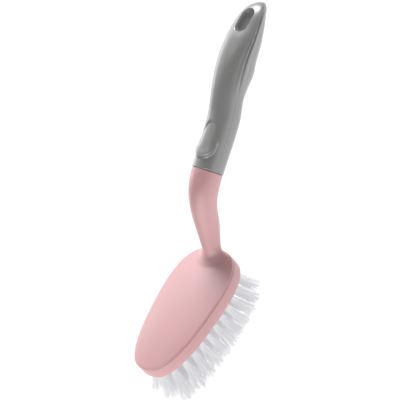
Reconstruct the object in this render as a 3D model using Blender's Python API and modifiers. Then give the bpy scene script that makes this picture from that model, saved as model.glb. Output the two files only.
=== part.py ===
"""A scrub brush: a tufted head on a cranked neck, and a grip pushed over the neck's tang.

Metres, +Z up. The brush stands on its bristle tips at Z = 0, and its handle rises towards +X.
The origin is the middle of the centre tuft's tip.
"""

import math

import bmesh
import bpy
from mathutils import Matrix, Vector

NAME = "scrub_brush"

# Clearances and overruns
FIT_GAP = 0.0003        # between faces of two pieces that touch
CUT_OVERRUN = 0.003     # how far a cutter passes the face that it cuts
WELD_OVERRUN = 0.001    # how far a joined shape sinks into the one that carries it

# Head, seen from above: an egg whose wide end carries the neck
HEAD_LENGTH = 0.1140
HEAD_WIDTH = 0.0608
EGG_TAPER_SHARE = 0.18
EGG_POWER = 2.63

# Head, seen from the side
BRISTLE_LENGTH = 0.0280
BLOCK_THICKNESS = 0.0107
BLOCK_EDGE = 0.0012
SEAM_CHAMFER = 0.0006
RIM_HEIGHT = 0.0017
RIM_ROUND = 0.0008
DOME_RISE = 0.0038
DOME_RING_SHARES = (0.96, 0.9, 0.78, 0.62, 0.42, 0.2)   # of the way from the middle to the rim

# Tufts, each with its anchor
TUFT_RADIUS = 0.0021
TUFT_TIP_RADIUS = 0.0044
TUFT_SPACING = 0.0015       # between the tips of neighbours, if they stood straight
TUFT_DEPTH = 0.0072         # how deep a tuft is set in the block
FIELD_END_INSET = 0.0075    # from the head's outline to the outline of the tufted field
FIELD_SIDE_INSET = 0.0060
FIELD_TAPER_SHARE = 0.10
END_ROW_INSET = 0.0030      # from the field's end to its first row
ROW_BOW = 0.0025            # how far the ends of an end row bend in towards the middle
LEAN_ALONG = 0.0052         # how far the tips of the end rows lean out
LEAN_ACROSS = 0.0042        # how far the outermost tips of a row lean out
ANCHOR_HEIGHT = 0.0020
ANCHOR_THICKNESS = 0.0005
ANCHOR_BITE = 0.0007        # how far an anchor's end cuts into the wall of its hole

# Pegs under the cover that find their sockets in the block, above the tufts
PEG_RADIUS = 0.0022
PEG_LENGTH = 0.0018
PEG_REACH = 0.0350
PEG_SIDE = 0.0120

# Neck: one bend, from the foot on the cover to the mouth of the grip
NECK_FOOT_INSET = 0.0047
NECK_REACH = 0.0432
NECK_RISE = 0.0522
NECK_FOOT_ANGLE = math.radians(60.9)
MOUTH_ANGLE = math.radians(20.0)
NECK_FOOT_PULL = 0.0360
NECK_MOUTH_PULL = 0.0237
MOUTH_RADIUS = 0.0124
MOUTH_CHAMFER = 0.0006
FOOT_FILLET = 0.0060
FILLET_RING_SHARES = (0, 0.1, 0.25, 0.45, 0.7, 1)   # of the fillet's height
FOOT_SINK = 0.0010

# Neck sections: share of the neck's length, and shares of the mouth's radius
NECK_RADIUS_SHARES = ((0, 0.66), (0.12, 0.68), (0.3, 0.77), (0.55, 0.865), (0.81, 0.975), (1, 1))
NECK_BACK_SHARES = ((0, 0.58), (0.12, 0.8), (0.25, 0.97), (0.35, 1), (1, 1))
NECK_LEVEL_SHARE = 0.28     # up to here the sections turn from level to square
NECK_LEAN_SHARE = 0.5       # the least that a level section is shortened by its lean
# The fillet runs round the foot's front, and fades out between these shares of the foot's depth
FILLET_END_SHARES = (-0.2, 0.7)

# Grip: its midline rises from the mouth to a crest near its end
GRIP_REACH = 0.1325
GRIP_RISE = 0.0452
GRIP_LINE_SHARES = (
    (0, 0), (0.12, 0.125), (0.21, 0.215), (0.32, 0.353), (0.42, 0.55), (0.52, 0.72),
    (0.62, 0.855), (0.73, 0.955), (0.84, 1.03), (0.92, 1.04), (1, 0.975),
)
GRIP_RADIUS = 0.0131
GRIP_SECTION_POWER = 2.15
GRIP_NOSE_SHARE = 0.71      # where the rounding of the far end starts
GRIP_START_SHARE = 0.08     # up to here the sections turn out of the mouth's plane
GRIP_STEP_SHARE = 0.01      # over which the midline's slope is measured
# Share of the grip's length, and shares of the grip's radius: half width, upper and lower depth
GRIP_SECTION_SHARES = (
    (0, 0.947, 0.947, 0.93),
    (0.15, 0.952, 0.955, 0.945),
    (0.3, 0.965, 0.97, 0.96),
    (0.4, 0.98, 0.92, 1.0),
    (0.47, 1.02, 0.91, 1.22),
    (0.53, 1.05, 0.89, 1.46),
    (0.57, 1.075, 0.875, 1.52),
    (0.63, 1.105, 0.82, 1.42),
    (0.72, 1.125, 0.67, 1.3),
    (0.82, 1.11, 0.475, 1.17),
    (1, 1.12, 0.55, 1.06),
)

# Thumb rest: a drop-shaped pad on the grip's top, its lip towards the head
PAD_LENGTH = 0.0330
PAD_START = 0.0065          # from the mouth to the pad's lip
PAD_RADIUS = 0.0126
PAD_TIP_RADIUS = 0.0030
PAD_PROUD = 0.0014
PAD_SIDE_SHARE = 0.5        # how much of the lip's height is left at the pad's sides
PAD_SCOOP = 0.0014
PAD_STEP = 0.0022           # how wide the pad's outer slope is
PAD_BAND = 0.0031           # from the pad's outline to its scooped middle

# Creases along both flanks of the grip
CREASE_DEPTH = 0.0009
CREASE_HALF_WIDTH = 0.0014
CREASE_ANGLE = math.radians(86)
CREASE_DEPTH_SHARES = ((0, 0), (0.42, 0), (0.54, 1), (0.9, 1), (0.985, 0), (1, 0))

# Hanging slot, straight down through the grip's far end
SLOT_LENGTH = 0.0218
SLOT_WIDTH = 0.0114
SLOT_END_INSET = 0.0224     # from the grip's far end to the middle of the slot

# Bore of the grip, and the ribbed tang that fills it
BORE_DEPTH = 0.0880
BORE_MOUTH_RADIUS = 0.0098
BORE_END_RADIUS = 0.0078
BORE_ANGLE = math.radians(23.2)
BORE_ROUND = 0.0011
TANG_LENGTH = 0.0620
TANG_RIB = 0.0028
COLLAR_LENGTH = 0.0050
SNAP_HEIGHT = 0.0006
SNAP_LENGTH = 0.0024
SNAP_START = 0.0400

# How finely the round shapes are cut into faces
HEAD_SIDES = 60
NECK_SIDES = 28
SLOT_SIDES = 24
TUFT_SIDES = 8
BORE_SIDES = 24
RIM_ANGLES = (0, 30, 60)            # degrees round the rim's rounded edge
NOSE_ANGLES = (10, 20, 30, 40, 50, 58, 66, 73, 79, 84, 88)
NECK_STEPS = 15
WELD_DISTANCE = 0.00001     # below which the points of a turned shape are one

# Heights that follow from the sizes above
BLOCK_BOTTOM = BRISTLE_LENGTH
BLOCK_TOP = BLOCK_BOTTOM + BLOCK_THICKNESS
TUFT_TOP = BLOCK_BOTTOM + TUFT_DEPTH
COVER_BOTTOM = BLOCK_TOP + FIT_GAP
PEG_BOTTOM = COVER_BOTTOM - PEG_LENGTH
COVER_RIM = COVER_BOTTOM + RIM_HEIGHT
FOOT = Vector((HEAD_LENGTH / 2 - NECK_FOOT_INSET, 0, COVER_RIM))
MOUTH = FOOT + Vector((NECK_REACH, 0, NECK_RISE))


def smooth_value(table, share, column=1):
    """The table's column at a share of the length, on a smooth line through its points."""
    last = len(table) - 2
    i = min(max(sum(row[0] <= share for row in table) - 1, 0), last)

    def slope(k):
        before, after = table[max(k - 1, 0)], table[min(k + 1, last + 1)]
        return (after[column] - before[column]) / (after[0] - before[0])

    start, end = table[i], table[i + 1]
    span = end[0] - start[0]
    t = (share - start[0]) / span
    return (
        (2 * t**3 - 3 * t**2 + 1) * start[column]
        + (t**3 - 2 * t**2 + t) * span * slope(i)
        + (3 * t**2 - 2 * t**3) * end[column]
        + (t**3 - t**2) * span * slope(i + 1)
    )


def eased(value):
    """A smooth step from 0 to 1."""
    value = min(max(value, 0), 1)
    return value * value * (3 - 2 * value)


def turn(count, start=0):
    """Angles once round, evenly spaced."""
    return [start + 2 * math.pi * i / count for i in range(count)]


def signed_power(value, power):
    return math.copysign(abs(value) ** power, value)


# Scene, materials and objects


def new_collection(name):
    collection = bpy.data.collections.new(name)
    bpy.context.scene.collection.children.link(collection)
    return collection


def new_material(name, colour, roughness, metallic=0.0):
    material = bpy.data.materials.new(name)
    material.use_nodes = True
    shader = material.node_tree.nodes["Principled BSDF"]
    shader.inputs["Base Color"].default_value = (*colour, 1)
    shader.inputs["Roughness"].default_value = roughness
    shader.inputs["Metallic"].default_value = metallic
    return material


def new_object(name, mesh, collection, material=None, sharp=math.radians(35)):
    """An object from a bmesh, its faces turned outwards and shaded smooth."""
    bmesh.ops.recalc_face_normals(mesh, faces=mesh.faces)
    data = bpy.data.meshes.new(name)
    mesh.to_mesh(data)
    mesh.free()
    data.shade_smooth()
    data.set_sharp_from_angle(angle=sharp)
    if material:
        data.materials.append(material)
    made = bpy.data.objects.new(name, data)
    collection.objects.link(made)
    return made


def hide_tool(made):
    """A cutter, or a shape that is joined to another, isn't a piece by itself."""
    made.hide_render = True
    made.display_type = "WIRE"
    return made


def combine(target, tools, operation):
    """Cuts or joins a whole collection of shapes in one step."""
    modifier = target.modifiers.new(operation.lower(), "BOOLEAN")
    modifier.operation = operation
    modifier.operand_type = "COLLECTION"
    modifier.collection = tools
    modifier.solver = "EXACT"


def loft(rings):
    """A closed mesh through rings with as many points each, flat at both ends."""
    mesh = bmesh.new()
    loops = [[mesh.verts.new(point) for point in ring] for ring in rings]
    for lower, upper in zip(loops, loops[1:]):
        for i in range(len(lower)):
            j = (i + 1) % len(lower)
            mesh.faces.new((lower[i], lower[j], upper[j], upper[i]))
    mesh.faces.new(loops[0])
    mesh.faces.new(loops[-1])
    return mesh


def slab(outline, bottom, top):
    """A flat outline drawn up into a plate."""
    mesh = bmesh.new()
    face = mesh.faces.new([mesh.verts.new((x, y, bottom)) for x, y in outline])
    drawn = bmesh.ops.extrude_face_region(mesh, geom=[face])
    risen = [item for item in drawn["geom"] if isinstance(item, bmesh.types.BMVert)]
    bmesh.ops.translate(mesh, vec=(0, 0, top - bottom), verts=risen)
    return mesh


def cylinder(sides, radius, bottom, top, top_radius=None):
    """An upright round bar, or a cone, on the Z axis."""
    mesh = bmesh.new()
    bmesh.ops.create_cone(
        mesh, cap_ends=True, segments=sides, radius1=radius,
        radius2=radius if top_radius is None else top_radius, depth=top - bottom,
        matrix=Matrix.Translation((0, 0, (top + bottom) / 2)),
    )
    return mesh


def bar(size, centre):
    """A box of this size about this centre."""
    mesh = bmesh.new()
    place = Matrix.Translation(centre) @ Matrix.Diagonal((*size, 1))
    bmesh.ops.create_cube(mesh, size=1, matrix=place)
    return mesh


# Head outline


def egg_point(angle, inset=0.0):
    """A point of the head's outline drawn in by inset; angle 0 is its front tip."""
    along = -signed_power(math.cos(angle), 2 / EGG_POWER)
    across = signed_power(math.sin(angle), 2 / EGG_POWER)
    x = (HEAD_LENGTH / 2 - inset) * along
    y = (HEAD_WIDTH / 2 - inset) * (1 + EGG_TAPER_SHARE * along) * across
    return x, y


def egg_ring(inset, height):
    return [(*egg_point(angle, inset), height) for angle in turn(HEAD_SIDES)]


def egg_share(x, y):
    """How far out a point lies: 0 in the head's middle, 1 on its outline."""
    along = x / (HEAD_LENGTH / 2)
    across = y / (HEAD_WIDTH / 2 * (1 + EGG_TAPER_SHARE * along))
    return (abs(along) ** EGG_POWER + abs(across) ** EGG_POWER) ** (1 / EGG_POWER)


def dome_height(x, y):
    """Height of the cover's top inside its rim."""
    return COVER_RIM + DOME_RISE * max(1 - egg_share(x, y) ** 2, 0)


def field_half_width(x):
    """Half the width of the tufted field at a place along the head."""
    along = x / (HEAD_LENGTH / 2 - FIELD_END_INSET)
    bulge = max(1 - abs(along) ** EGG_POWER, 0) ** (1 / EGG_POWER)
    return (HEAD_WIDTH / 2 - FIELD_SIDE_INSET) * (1 + FIELD_TAPER_SHARE * along) * bulge


def tuft_places():
    """Each tuft's name, the place of its hole, and how far its tip leans out."""
    pitch = 2 * TUFT_TIP_RADIUS + TUFT_SPACING
    reach = HEAD_LENGTH / 2 - FIELD_END_INSET - END_ROW_INSET
    rows = max(round(reach / pitch), 1)
    tufts = []
    for row in range(-rows, rows + 1):
        x = reach * row / rows
        half = field_half_width(x)
        gaps = 2 * round(half / pitch) if row == 0 else max(round(2 * half / pitch), 1)
        for i in range(gaps + 1):
            across = 2 * i / gaps - 1
            place = Vector((x - ROW_BOW * across**2 * row / rows, half * across, 0))
            lean = Vector((LEAN_ALONG * row / rows, LEAN_ACROSS * across, 0))
            tufts.append((f"tuft_{row + rows + 1:02d}_{i + 1}", place, lean))
    return tufts


def peg_places():
    """Near the head's four corners."""
    return [(x, y) for x in (-PEG_REACH, PEG_REACH) for y in (-PEG_SIDE, PEG_SIDE)]


# Block and tufts


def keyed_outline(radius, key_reach, key_half_width):
    """A round outline with a key that runs across it along X, past both sides."""
    side = math.asin(key_half_width / radius)
    outline = []
    for half in (0, math.pi):
        outline += [(half - side, key_reach), (half + side, key_reach)]
        for i in range(1, TUFT_SIDES // 2):
            outline.append((half + math.pi * i / (TUFT_SIDES // 2), radius))
    points = []
    for angle, reach in outline:
        x, y = radius * math.cos(angle), radius * math.sin(angle)
        if reach > radius:
            x = math.copysign(reach, x)
        points.append((x, y))
    return points


def tuft_ring(place, radius, key_reach, height):
    outline = keyed_outline(radius, key_reach, min(ANCHOR_THICKNESS / 2, radius / 2))
    return [(place.x + x, place.y + y, height) for x, y in outline]


def make_tuft(name, place, lean, parts, material):
    """A bundle of bristles folded round its anchor, whose ends bite into the block."""
    key = TUFT_RADIUS + FIT_GAP + ANCHOR_BITE
    rings = [
        tuft_ring(place + lean, TUFT_TIP_RADIUS, 0, 0),
        tuft_ring(place, TUFT_RADIUS, 0, BLOCK_BOTTOM),
        tuft_ring(place, TUFT_RADIUS, 0, TUFT_TOP - ANCHOR_HEIGHT),
        tuft_ring(place, TUFT_RADIUS, key, TUFT_TOP - ANCHOR_HEIGHT),
        tuft_ring(place, TUFT_RADIUS, key, TUFT_TOP),
    ]
    return new_object(name, loft(rings), parts, material)


def make_block(tufts, parts, cutters, material):
    """The plate that holds the tufts, with a blind hole for each and a socket for each peg."""
    outline = [egg_point(angle) for angle in turn(HEAD_SIDES)]
    block = new_object("bristle_block", slab(outline, BLOCK_BOTTOM, BLOCK_TOP), parts, material)
    edge_width = block.data.attributes.new("bevel_weight_edge", "FLOAT", "EDGE")
    for edge in block.data.edges:
        heights = [block.data.vertices[i].co.z for i in edge.vertices]
        if max(heights) < BLOCK_TOP - SEAM_CHAMFER:
            edge_width.data[edge.index].value = 1
        elif min(heights) > BLOCK_BOTTOM + BLOCK_EDGE:
            edge_width.data[edge.index].value = SEAM_CHAMFER / BLOCK_EDGE
    bevel = block.modifiers.new("edges", "BEVEL")
    bevel.width = BLOCK_EDGE
    bevel.segments = 2
    bevel.limit_method = "WEIGHT"
    key = TUFT_RADIUS + ANCHOR_BITE + 2 * FIT_GAP
    hole = keyed_outline(TUFT_RADIUS + FIT_GAP, key, ANCHOR_THICKNESS / 2 + FIT_GAP)
    for name, place, _ in tufts:
        outline = [(place.x + x, place.y + y) for x, y in hole]
        cut = slab(outline, BLOCK_BOTTOM - CUT_OVERRUN, TUFT_TOP + FIT_GAP)
        hide_tool(new_object("hole_for_" + name, cut, cutters))
    for x, y in peg_places():
        floor = PEG_BOTTOM - FIT_GAP
        socket = cylinder(TUFT_SIDES, PEG_RADIUS + FIT_GAP, floor, BLOCK_TOP + CUT_OVERRUN)
        bmesh.ops.translate(socket, vec=(x, y, 0), verts=socket.verts)
        hide_tool(new_object("socket", socket, cutters))
    combine(block, cutters, "DIFFERENCE")
    return block


# Cover and neck


def cover_rings():
    """From the seam up the rim, over its rounded edge and in across the dome."""
    rings = [
        egg_ring(SEAM_CHAMFER, COVER_BOTTOM),
        egg_ring(0, COVER_BOTTOM + SEAM_CHAMFER),
    ]
    for angle in RIM_ANGLES:
        turned = math.radians(angle)
        inset = RIM_ROUND * (1 - math.cos(turned))
        rings.append(egg_ring(inset, COVER_RIM - RIM_ROUND * (1 - math.sin(turned))))
    for share in DOME_RING_SHARES:
        ring = [Vector(point) * share for point in egg_ring(0, 0)]
        rings.append([(p.x, p.y, dome_height(p.x, p.y)) for p in ring])
    return rings


def neck_point(share):
    """The neck's midline and its direction, at a share of its bend."""
    up = Vector((math.cos(NECK_FOOT_ANGLE), 0, math.sin(NECK_FOOT_ANGLE)))
    on = Vector((math.cos(MOUTH_ANGLE), 0, math.sin(MOUTH_ANGLE)))
    a, b, c, d = FOOT, FOOT + up * NECK_FOOT_PULL, MOUTH - on * NECK_MOUTH_PULL, MOUTH
    t, s = share, 1 - share
    point = a * s**3 + b * (3 * s * s * t) + c * (3 * s * t * t) + d * t**3
    way = (b - a) * (s * s) + (c - b) * (2 * s * t) + (d - c) * (t * t)
    return point, way.normalized()


def neck_ring(share, inset=0.0, shift=0.0, fillet_height=None):
    """A section of the neck; near the foot it lies level and spreads into the fillet."""
    centre, way = neck_point(share)
    centre = centre + way * shift
    radius = smooth_value(NECK_RADIUS_SHARES, share) * MOUTH_RADIUS - inset
    level = 1 - eased(share / NECK_LEVEL_SHARE)
    square = Vector((way.z, 0, -way.x))
    back = square.lerp(Vector((1, 0, 0)), level).normalized()
    stretch = 1 / max(back.dot(square), NECK_LEAN_SHARE)
    fade_start, fade_end = FILLET_END_SHARES
    ring = []
    for angle in turn(NECK_SIDES):
        x, y = math.cos(angle), math.sin(angle)
        depth = radius * stretch
        if x > 0:
            depth *= smooth_value(NECK_BACK_SHARES, share)
        spread = 0.0
        if fillet_height is not None:
            rise = 1 - fillet_height / FOOT_FILLET
            fade = 1 - eased((x - fade_start) / (fade_end - fade_start))
            spread = FOOT_FILLET * (1 - math.sqrt(1 - rise * rise)) * fade
        point = centre + back * ((depth + spread) * x) + Vector((0, (radius + spread) * y, 0))
        if fillet_height is not None:
            lift = dome_height(point.x, point.y) - COVER_RIM
            point.z += lift * (1 - fillet_height / FOOT_FILLET)
        ring.append(point)
    return ring


def neck_rings():
    """From just under the cover's top, through the fillet and the bend, to the mouth."""
    rings = [[point - Vector((0, 0, FOOT_SINK)) for point in neck_ring(0, fillet_height=0)]]
    for step in FILLET_RING_SHARES:
        height = FOOT_FILLET * step
        rings.append(neck_ring(share_at_height(height), fillet_height=height))
    start = share_at_height(FOOT_FILLET)
    rings += [neck_ring(start + (1 - start) * i / NECK_STEPS) for i in range(1, NECK_STEPS)]
    rings.append(neck_ring(1, shift=-MOUTH_CHAMFER - FIT_GAP))
    rings.append(neck_ring(1, inset=MOUTH_CHAMFER, shift=-FIT_GAP))
    return rings


def share_at_height(height):
    """Where the neck's midline reaches a height above the cover's rim."""
    low, high = 0.0, 1.0
    for _ in range(40):
        middle = (low + high) / 2
        if neck_point(middle)[0].z - FOOT.z < height:
            low = middle
        else:
            high = middle
    return low


def bore_frame():
    """Puts +Z along the bore, from the middle of the mouth."""
    lean = Matrix.Rotation(math.pi / 2 - BORE_ANGLE, 4, "Y")
    return Matrix.Translation(MOUTH) @ lean


def bore_radius(depth):
    return BORE_MOUTH_RADIUS + (BORE_END_RADIUS - BORE_MOUTH_RADIUS) * depth / BORE_DEPTH


def add_tang(tools):
    """Two crossed ribs with a collar at each end and a snap ring, on the bore's axis."""
    frame = bore_frame()
    start = -MOUTH_RADIUS
    for across in (False, True):
        half = bore_radius(TANG_LENGTH) - FIT_GAP - WELD_OVERRUN
        width, height = (2 * half, TANG_RIB) if across else (TANG_RIB, 2 * half)
        size = (width, height, TANG_LENGTH - start)
        rib = bar(size, (0, 0, (TANG_LENGTH + start) / 2))
        made = new_object("tang_rib", rib, tools)
        made.matrix_world = frame
        hide_tool(made)
    collars = ((start, COLLAR_LENGTH), (TANG_LENGTH - COLLAR_LENGTH, TANG_LENGTH))
    for low, high in collars:
        radius = bore_radius(max(low, 0)) - FIT_GAP
        collar = cylinder(BORE_SIDES, radius, low, high, top_radius=bore_radius(high) - FIT_GAP)
        made = new_object("tang_collar", collar, tools)
        made.matrix_world = frame
        hide_tool(made)
    ring = bpy.data.objects.new("snap_ring", ring_profile())
    tools.objects.link(ring)
    ring.matrix_world = frame
    turn_profile(ring)
    hide_tool(ring)


def snap_points(clearance, widen):
    """The snap ring's ridge, or the groove that takes it, from its far side to its near side."""
    low, high = SNAP_START - widen, SNAP_START + SNAP_LENGTH + widen
    crest = bore_radius(SNAP_START) + SNAP_HEIGHT
    ridge = [(bore_radius(high), high), (crest, (low + high) / 2), (bore_radius(low), low)]
    return [(radius + clearance, height) for radius, height in ridge]


def ring_profile():
    """Half the outline of the snap ring."""
    ridge = snap_points(-FIT_GAP, 0)
    return profile_mesh("ring_profile", [(0, ridge[0][1]), *ridge, (0, ridge[-1][1])])


def bore_profile():
    """Half the outline of the bore, with the groove for the snap ring."""
    end = bore_radius(BORE_DEPTH)
    points = [(0, BORE_DEPTH), (end - BORE_ROUND, BORE_DEPTH), (end, BORE_DEPTH - BORE_ROUND)]
    points += snap_points(0, FIT_GAP)
    points += [(bore_radius(-CUT_OVERRUN), -CUT_OVERRUN), (0, -CUT_OVERRUN)]
    return profile_mesh("bore_profile", points)


def profile_mesh(name, points):
    data = bpy.data.meshes.new(name)
    edges = [(i, i + 1) for i in range(len(points) - 1)]
    data.from_pydata([(radius, 0, height) for radius, height in points], edges, [])
    return data


def turn_profile(made):
    """Turns a profile once round its own Z axis."""
    screw = made.modifiers.new("turn", "SCREW")
    screw.steps = BORE_SIDES
    screw.render_steps = BORE_SIDES
    screw.use_merge_vertices = True
    screw.merge_threshold = WELD_DISTANCE


def make_head_and_neck(parts, tools, material):
    """The domed cover, its pegs, the neck and the tang are one moulding."""
    head = new_object("head_and_neck", loft(cover_rings()), parts, material)
    hide_tool(new_object("neck", loft(neck_rings()), tools))
    for x, y in peg_places():
        peg = cylinder(TUFT_SIDES, PEG_RADIUS, PEG_BOTTOM, COVER_BOTTOM + WELD_OVERRUN)
        bmesh.ops.translate(peg, vec=(x, y, 0), verts=peg.verts)
        hide_tool(new_object("peg", peg, tools))
    add_tang(tools)
    combine(head, tools, "UNION")
    return head


# Grip


def grip_point(share):
    """The grip's midline and its direction, at a share of its reach."""
    rise = smooth_value(GRIP_LINE_SHARES, share) * GRIP_RISE
    point = MOUTH + Vector((share * GRIP_REACH, 0, rise))
    low, high = max(share - GRIP_STEP_SHARE, 0), min(share + GRIP_STEP_SHARE, 1)
    climb = smooth_value(GRIP_LINE_SHARES, high) - smooth_value(GRIP_LINE_SHARES, low)
    way = Vector(((high - low) * GRIP_REACH, 0, climb * GRIP_RISE)).normalized()
    start = Vector((math.cos(MOUTH_ANGLE), 0, math.sin(MOUTH_ANGLE)))
    return point, start.lerp(way, eased(share / GRIP_START_SHARE)).normalized()


def pad_distance(across, along):
    """How far a place is outside the thumb rest's drop-shaped outline; inside is negative."""
    across = abs(across)
    along -= PAD_START + PAD_RADIUS
    length = PAD_LENGTH - PAD_RADIUS - PAD_TIP_RADIUS
    sine = (PAD_RADIUS - PAD_TIP_RADIUS) / length
    cosine = math.sqrt(1 - sine * sine)
    side = along * cosine - across * sine
    if side < 0:
        return math.hypot(across, along) - PAD_RADIUS
    if side > cosine * length:
        return math.hypot(across, along - length) - PAD_TIP_RADIUS
    return across * cosine + along * sine - PAD_RADIUS


def pad_relief(across, along):
    """Height of the thumb rest above the grip: proud at its lip, scooped in its middle."""
    distance = pad_distance(across, along)
    fade = 1 - eased((along - PAD_START - PAD_RADIUS / 2) / (PAD_LENGTH - PAD_RADIUS / 2))
    side = (1 - PAD_SIDE_SHARE) * eased(abs(across) / PAD_RADIUS)
    rise = PAD_PROUD * fade * (1 - side) * eased(-distance / PAD_STEP)
    scoop = PAD_SCOOP * eased((-distance - PAD_BAND) / (PAD_RADIUS - PAD_BAND))
    return rise - scoop


def crease_relief(angle, share, radius):
    """Depth of the crease along each flank, as a negative height."""
    away = abs(abs(angle) - CREASE_ANGLE) * radius / CREASE_HALF_WIDTH
    return -CREASE_DEPTH * smooth_value(CREASE_DEPTH_SHARES, share) * (1 - eased(away))


def grip_angles():
    """Angles round the grip from its top, closer together at the creases."""
    step = CREASE_HALF_WIDTH / GRIP_RADIUS
    crease = [CREASE_ANGLE - step, CREASE_ANGLE, CREASE_ANGLE + step]
    upper = [CREASE_ANGLE * i / 8 for i in range(1, 8)]
    lower = [CREASE_ANGLE + (math.pi - CREASE_ANGLE) * i / 7 for i in range(1, 7)]
    half = sorted(upper + crease + lower)
    return [0] + half + [math.pi] + [-angle for angle in reversed(half)]


def grip_ring(share, inset=0.0):
    """A section of the grip, with the thumb rest and the creases worked in."""
    centre, way = grip_point(share)
    top = Vector((-way.z, 0, way.x))
    nose = max(share - GRIP_NOSE_SHARE, 0) / (1 - GRIP_NOSE_SHARE)
    shrink = math.sqrt(max(1 - nose * nose, 0))
    width, upper, lower = (
        smooth_value(GRIP_SECTION_SHARES, share, column) * GRIP_RADIUS * shrink - inset
        for column in (1, 2, 3)
    )
    along = share * GRIP_REACH / math.cos(MOUTH_ANGLE)
    ring = []
    for angle in grip_angles():
        x = signed_power(math.sin(angle), 2 / GRIP_SECTION_POWER)
        z = signed_power(math.cos(angle), 2 / GRIP_SECTION_POWER)
        point = Vector((width * x, (upper if z > 0 else lower) * z))
        relief = crease_relief(angle, share, width)
        if abs(angle) < math.pi / 2:
            relief += pad_relief(angle * GRIP_RADIUS, along)
        point += point.normalized() * relief * shrink
        ring.append(centre + Vector((0, point.x, 0)) + top * point.y)
    return ring


def grip_shares():
    """Stations along the grip: close together at the thumb rest and round the far end."""
    pad_end = (PAD_START + PAD_LENGTH) / GRIP_REACH
    shares = [pad_end * i / 19 for i in range(1, 20)]
    shares += [pad_end + (GRIP_NOSE_SHARE - pad_end) * i / 12 for i in range(1, 13)]
    for angle in NOSE_ANGLES:
        turned = math.sin(math.radians(angle))
        shares.append(GRIP_NOSE_SHARE + (1 - GRIP_NOSE_SHARE) * turned)
    return shares


def grip_rings():
    chamfer_share = MOUTH_CHAMFER / GRIP_REACH
    rings = [grip_ring(0, inset=MOUTH_CHAMFER), grip_ring(chamfer_share)]
    return rings + [grip_ring(share) for share in grip_shares()]


def slot_outline():
    """A long hole with round ends."""
    middle = MOUTH.x + GRIP_REACH - SLOT_END_INSET
    half = (SLOT_LENGTH - SLOT_WIDTH) / 2
    outline = []
    for angle in turn(SLOT_SIDES, start=-math.pi / 2):
        end = half if math.cos(angle) >= 0 else -half
        reach = SLOT_WIDTH / 2
        outline.append((middle + end + reach * math.cos(angle), reach * math.sin(angle)))
    return outline


def make_grip(parts, cutters, material):
    """The grip: bored for the tang, with a thumb rest, a finger stop and a slot to hang by."""
    grip = new_object("handle_grip", loft(grip_rings()), parts, material)
    top = MOUTH.z + GRIP_RISE + 2 * GRIP_RADIUS
    bottom = MOUTH.z - GRIP_RADIUS
    hide_tool(new_object("slot", slab(slot_outline(), bottom, top), cutters))
    bore = bpy.data.objects.new("bore", bore_profile())
    cutters.objects.link(bore)
    bore.matrix_world = bore_frame()
    turn_profile(bore)
    hide_tool(bore)
    combine(grip, cutters, "DIFFERENCE")
    return grip


def main():
    for old in list(bpy.data.objects):
        bpy.data.objects.remove(old)
    parts = new_collection(NAME)
    hole_cutters = new_collection("hole_cutters")
    grip_cutters = new_collection("grip_cutters")
    head_shapes = new_collection("head_shapes")
    pink = new_material("pink_plastic", (0.72, 0.43, 0.44), 0.35)
    block_pink = new_material("block_plastic", (0.70, 0.41, 0.42), 0.38)
    grey = new_material("grey_plastic", (0.36, 0.36, 0.36), 0.42)
    nylon = new_material("white_nylon", (0.86, 0.86, 0.88), 0.4)
    tufts = tuft_places()
    make_head_and_neck(parts, head_shapes, pink)
    make_block(tufts, parts, hole_cutters, block_pink)
    make_grip(parts, grip_cutters, grey)
    for name, place, lean in tufts:
        make_tuft(name, place, lean, parts, nylon)


main()
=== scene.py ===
"""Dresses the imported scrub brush: fine mouldings, loose bristles, materials, light and camera.

Metres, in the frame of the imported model: +Z up, and +X from the head's front end to the handle.
The named sizes come first, then the functions for each piece, and main() puts them together.
"""

import math
import random

import bmesh
import bpy
import numpy as np
from mathutils import Matrix, Vector
from mathutils.bvhtree import BVHTree


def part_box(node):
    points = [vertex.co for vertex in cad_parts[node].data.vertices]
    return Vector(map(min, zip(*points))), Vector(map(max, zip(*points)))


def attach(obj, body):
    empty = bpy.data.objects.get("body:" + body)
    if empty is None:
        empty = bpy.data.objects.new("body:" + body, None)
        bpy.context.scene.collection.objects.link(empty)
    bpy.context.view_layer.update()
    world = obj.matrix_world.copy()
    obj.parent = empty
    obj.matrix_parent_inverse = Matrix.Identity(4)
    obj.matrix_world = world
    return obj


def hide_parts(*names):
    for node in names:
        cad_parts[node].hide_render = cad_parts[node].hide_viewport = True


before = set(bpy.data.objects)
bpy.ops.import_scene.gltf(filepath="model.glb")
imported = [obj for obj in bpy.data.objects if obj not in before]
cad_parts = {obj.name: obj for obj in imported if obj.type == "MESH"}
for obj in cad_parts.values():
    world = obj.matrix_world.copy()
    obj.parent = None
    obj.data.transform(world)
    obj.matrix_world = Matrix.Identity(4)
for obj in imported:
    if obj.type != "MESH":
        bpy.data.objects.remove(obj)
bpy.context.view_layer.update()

# The head's block, from the frame
BLOCK_LOW, BLOCK_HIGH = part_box("bristle_block")
BLOCK_BOTTOM, BLOCK_TOP = BLOCK_LOW[2], BLOCK_HIGH[2]
HEAD_LENGTH = BLOCK_HIGH[0] - BLOCK_LOW[0]

# Head, seen from above: an egg whose wide end carries the neck
HEAD_WIDTH = 0.0608
EGG_TAPER_SHARE = 0.18
EGG_POWER = 2.63

# Head, seen from the side
FIT_GAP = 0.0003
BLOCK_EDGE = 0.0012
SEAM_CHAMFER = 0.0008
RIM_HEIGHT = 0.0017
RIM_ROUND = 0.0009
COVER_CHAMFER = 0.0005
DOME_RISE = 0.0038

# Holes for the tufts, each with a countersink
TUFT_RADIUS = 0.0021
TUFT_DEPTH = 0.0072
HOLE_COUNTERSINK = 0.0004

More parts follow.
